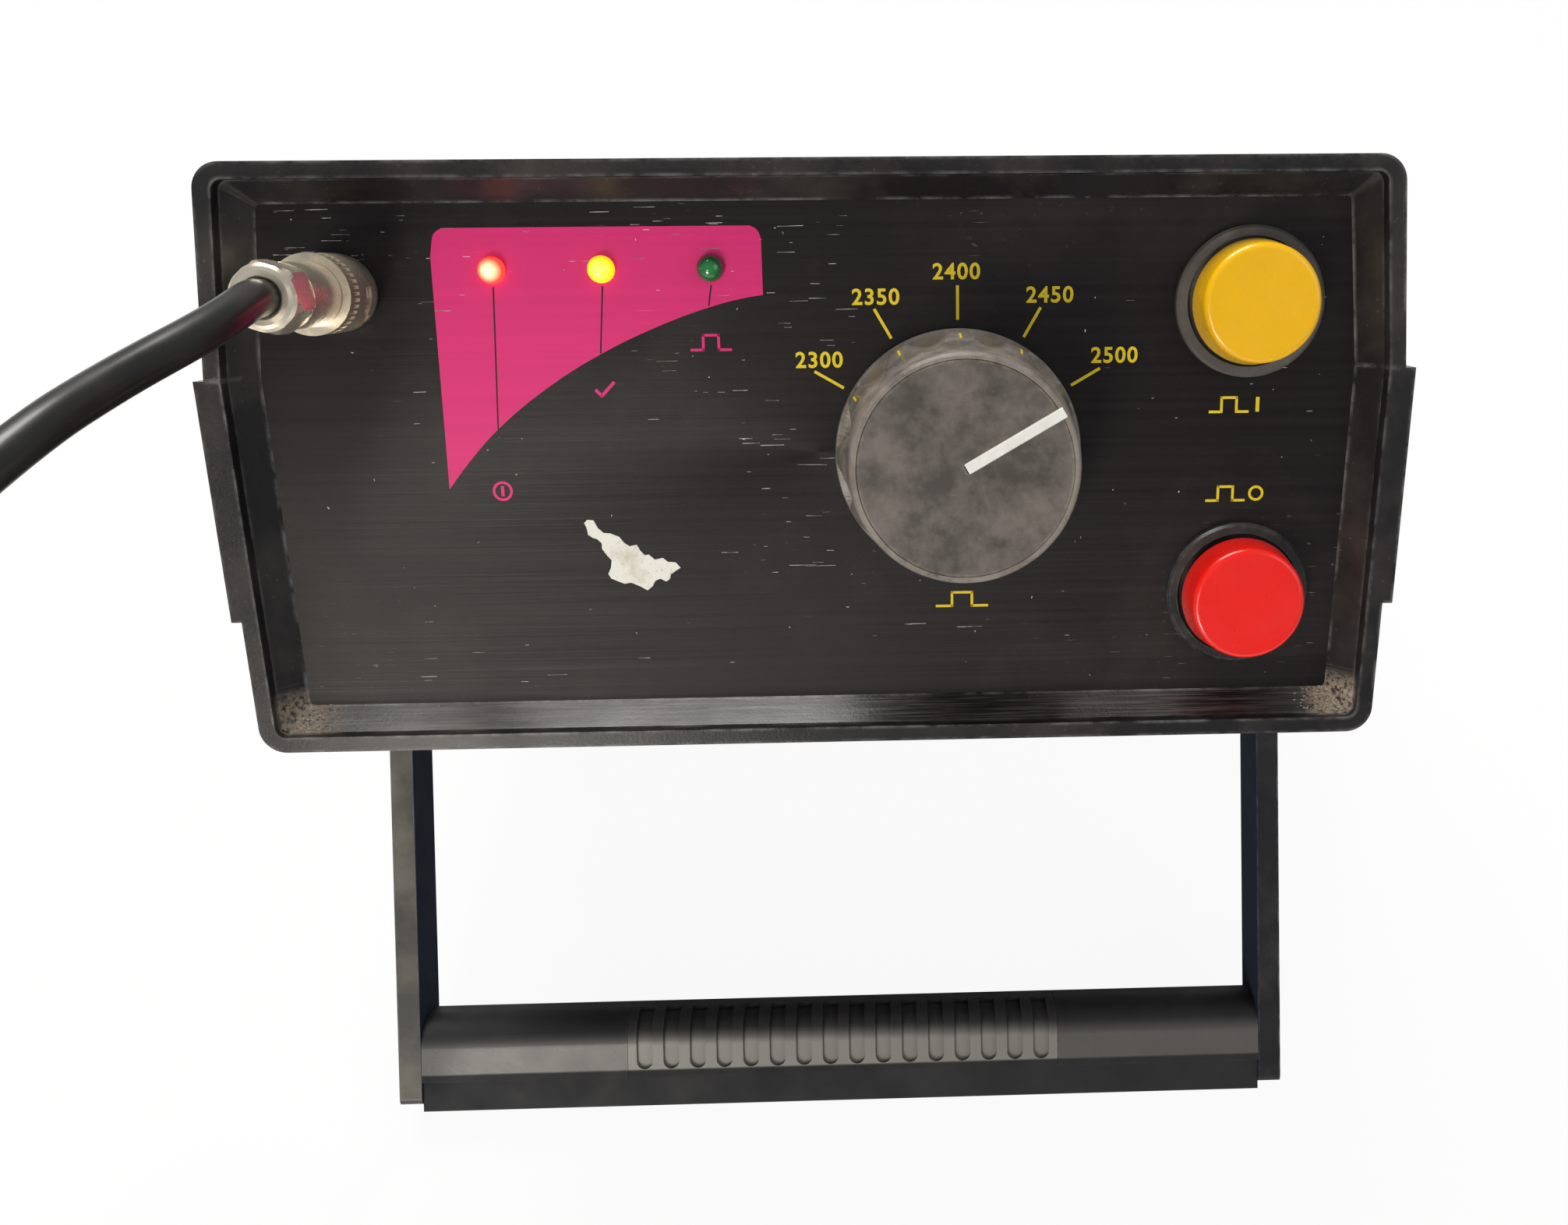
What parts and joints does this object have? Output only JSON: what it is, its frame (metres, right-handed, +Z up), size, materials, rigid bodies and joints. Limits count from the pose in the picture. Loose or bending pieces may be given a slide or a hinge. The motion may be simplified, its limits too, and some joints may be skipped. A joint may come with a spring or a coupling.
{
  "type": "electroporator",
  "caption": "Portable high voltage pulse generator in a two-shell case, standing on its swung-down carry handle, with selector knob, push buttons and output cable.",
  "frame": {"origin": "on the bench, under the middle of the instrument's footprint without its cable", "axes": "+X to the operator's right, +Y away from the operator, +Z up"},
  "size_m": [0.3301, 0.4048, 0.2659],
  "materials": {
    "black_abs": "fine moulded satin, black",
    "black_anodised": "brushed and black anodised",
    "zinc_screw": "zinc plated",
    "black_rubber": "matt",
    "arm_black": "satin black powder coat",
    "grip_black": "satin",
    "grip_rubber": "soft matt",
    "knob_black": "matt",
    "knob_face": "matt, dusty",
    "pointer_white": "gloss",
    "button_yellow": "gloss",
    "button_red": "gloss",
    "bezel_black": "satin",
    "led_red": "diffused lens",
    "led_yellow": "diffused lens",
    "led_green": "diffused lens",
    "nickel": "nickel plated",
    "ptfe": "natural white",
    "cable_black": "pvc jacket, satin",
    "circuit_board": "green solder mask",
    "ferrite": "ground ferrite",
    "winding": "polyester tape",
    "capacitor_sleeve": "blue sleeve",
    "relay_case": "blue",
    "ceramic_resistor": "ceramic",
    "natural_aluminium": "extruded",
    "brass": "turned"
  },
  "bodies": {
    "case": {"lower_shell": "black_abs", "upper_shell": "black_abs", "case_screws": "zinc_screw", "feet": "black_rubber", "front_panel": "black_anodised", "rear_panel": "black_anodised", "pivot_studs": "zinc_screw", "pivot_nuts": "zinc_screw", "selector_switch": "bezel_black", "selector_nut": "zinc_screw", "start_bezel": "bezel_black", "start_nut": "bezel_black", "start_contact_block": "bezel_black", "stop_bezel": "bezel_black", "stop_nut": "bezel_black", "stop_contact_block": "bezel_black", "led_red": "led_red", "led_yellow": "led_yellow", "led_green": "led_green", "led_spacers": "bezel_black", "display_board": "circuit_board", "display_posts": "zinc_screw", "hv_socket": "nickel", "hv_socket_insulator": "ptfe", "hv_socket_nut": "nickel", "main_board": "circuit_board", "board_screws": "zinc_screw", "hv_transformer_core": "ferrite", "hv_transformer_coil": "winding", "storage_capacitor": "capacitor_sleeve", "pulse_relay": "relay_case", "discharge_resistors": "ceramic_resistor", "heatsink": "natural_aluminium", "mains_inlet": "bezel_black", "mains_inlet_blades": "brass", "mains_switch_frame": "bezel_black", "fuse_holder": "bezel_black", "hv_plug_body": "nickel", "hv_plug_nut": "nickel", "hv_cable": "cable_black", "hv_cable_tail": "cable_black", "cable_coil": "cable_black", "cable_end_plug": "bezel_black", "cable_end_contacts": "nickel"},
    "handle": {"handle_arm_left": "arm_black", "handle_arm_right": "arm_black", "grip_bar": "grip_black", "grip_insert": "grip_rubber", "grip_screws": "zinc_screw", "pivot_cap_left": "black_abs", "pivot_cap_right": "black_abs"},
    "selector_knob": {"knob_body": "knob_black", "knob_cap": "knob_face", "knob_pointer": "pointer_white", "knob_grub_screw": "zinc_screw", "selector_shaft": "brass"},
    "start_button": {"start_cap": "button_yellow"},
    "stop_button": {"stop_cap": "button_red"},
    "plug_coupling": {"hv_plug_ring": "nickel"},
    "mains_switch": {"mains_rocker": "bezel_black"}
  },
  "joints": [
    {"name": "handle_swing", "type": "hinge", "parent": "case", "child": "handle", "pos_m": [0, 0.00899, 0.11597], "axis": [1, 0, 0], "range_deg": [-66, 205]},
    {"name": "selector_turn", "type": "hinge", "parent": "case", "child": "selector_knob", "pos_m": [0.027, -0.07737, 0.19961], "axis": [0, 0.7593, -0.6508], "range_deg": [-120, 0]},
    {"name": "start_press", "type": "slide", "parent": "case", "child": "start_button", "axis": [0, 0.7593, -0.6508], "range_m": [0, 0.003], "stiffness_N_per_m": 400, "springref_m": -0.003},
    {"name": "stop_press", "type": "slide", "parent": "case", "child": "stop_button", "axis": [0, 0.7593, -0.6508], "range_m": [0, 0.003], "stiffness_N_per_m": 400, "springref_m": -0.003},
    {"name": "coupling_turn", "type": "hinge", "parent": "case", "child": "plug_coupling", "pos_m": [-0.0867, -0.05719, 0.22315], "axis": [0, -0.7593, 0.6508], "range_deg": [0, 45]},
    {"name": "mains_switch_throw", "type": "hinge", "parent": "case", "child": "mains_switch", "pos_m": [-0.02, 0.08579, 0.03961], "axis": [1, 0, 0], "range_deg": [0, 10]}
  ]
}
